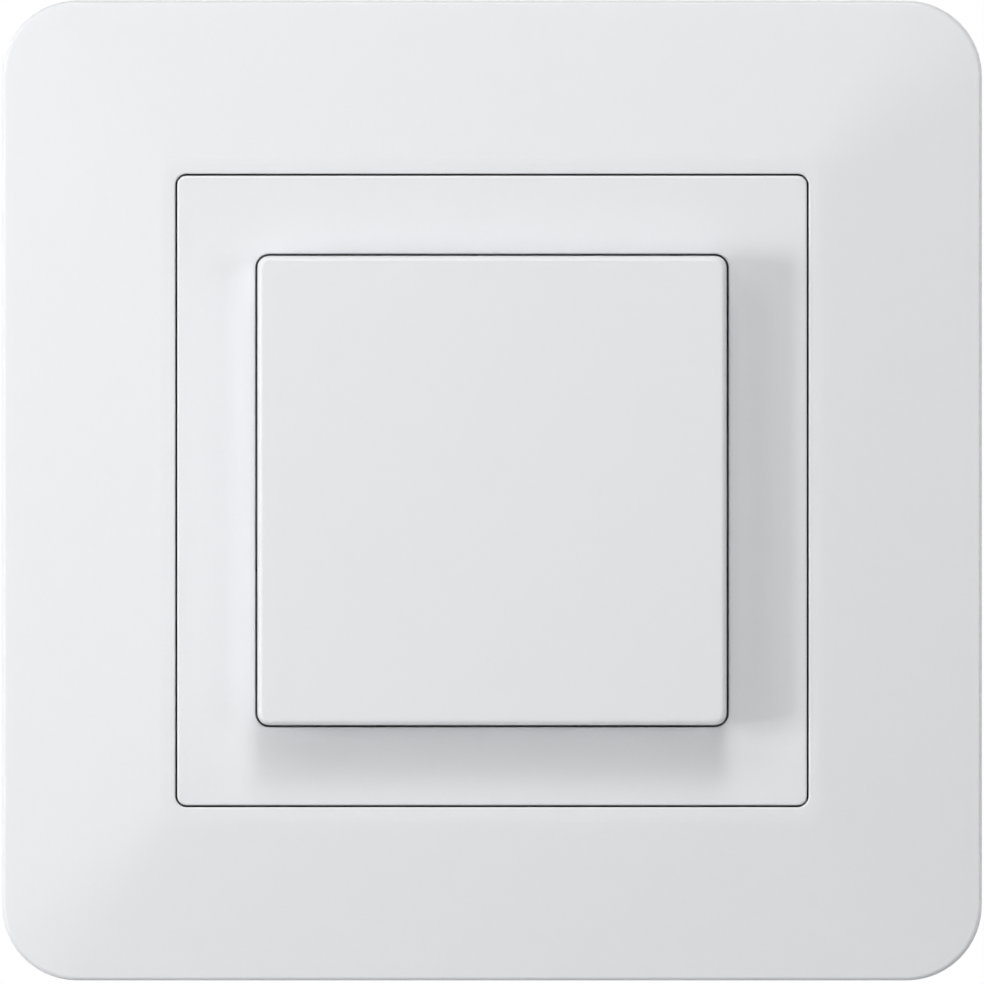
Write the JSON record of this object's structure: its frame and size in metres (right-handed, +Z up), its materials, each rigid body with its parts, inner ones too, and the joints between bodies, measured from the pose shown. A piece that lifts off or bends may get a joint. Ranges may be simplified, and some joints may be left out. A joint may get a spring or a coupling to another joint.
{
  "type": "rocker wall switch",
  "caption": "Flush-mounted square rocker wall switch with sloping cover frame, centre plate, tilting rocker, see-saw contacts and push-in terminals.",
  "frame": {"origin": "middle of the box screws' pattern, on the wall plane", "axes": "+X right, +Z up, +Y into the wall; the front looks along -Y"},
  "size_m": [0.0936, 0.0385, 0.0936],
  "materials": {
    "white_plastic": "fine matt moulded thermoplastic, traffic white",
    "natural_plastic": "uncoloured moulded polyamide",
    "mechanism_plastic": "light grey glass-filled polyamide",
    "release_plastic": "orange moulded plastic",
    "galvanised_steel": "zinc-plated pressed sheet",
    "rivet_steel": "nickel-plated",
    "spring_steel": "bright drawn",
    "contact_brass": "stamped strip",
    "contact_silver": "silver alloy, satin"
  },
  "bodies": {
    "root": {"cover_frame": "white_plastic", "centre_plate": "white_plastic", "support_plate": "galvanised_steel", "mechanism_cover": "mechanism_plastic", "mechanism_base": "mechanism_plastic", "tubular_rivets": "rivet_steel", "return_spring_upper": "spring_steel", "return_spring_lower": "spring_steel", "common_terminal": "contact_brass", "contact_pivot_pin": "rivet_steel", "upper_contact": "contact_brass", "lower_contact": "contact_brass", "fixed_contact_tips": "contact_silver", "common_clamp_spring": "spring_steel", "upper_clamp_spring": "spring_steel", "lower_clamp_spring": "spring_steel"},
    "rocker": {"rocker_button": "white_plastic", "rocker_carrier": "natural_plastic"},
    "contact_lever": {"contact_yoke": "natural_plastic", "contact_bridge": "contact_brass", "moving_contact_tips": "contact_silver"},
    "common_release": {"common_release_button": "release_plastic"},
    "upper_release": {"upper_release_button": "release_plastic"},
    "lower_release": {"lower_release_button": "release_plastic"}
  },
  "joints": [
    {"name": "rocker_tilt", "type": "hinge", "parent": "root", "child": "rocker", "pos_m": [0, -0.006, 0], "axis": [1, 0, 0], "range_deg": [-3.5, 3.5], "stiffness_Nm_per_rad": 1.3, "deforming": ["return_spring_upper", "return_spring_lower"]},
    {"name": "contact_tilt", "type": "hinge", "parent": "root", "child": "contact_lever", "pos_m": [0, 0.0124, 0], "axis": [1, 0, 0], "range_deg": [-10.6, 10.6]},
    {"name": "common_release_push", "type": "slide", "parent": "root", "child": "common_release", "axis": [0, -1, 0], "range_m": [0, 0.0012], "stiffness_N_per_m": 800, "deforming": ["common_clamp_spring"]},
    {"name": "upper_release_push", "type": "slide", "parent": "root", "child": "upper_release", "axis": [0, -1, 0], "range_m": [0, 0.0012], "stiffness_N_per_m": 800, "deforming": ["upper_clamp_spring"]},
    {"name": "lower_release_push", "type": "slide", "parent": "root", "child": "lower_release", "axis": [0, -1, 0], "range_m": [0, 0.0012], "stiffness_N_per_m": 800, "deforming": ["lower_clamp_spring"]}
  ],
  "couplings": [
    {"joint": "contact_tilt", "follows": "rocker_tilt", "ratio": -3}
  ]
}
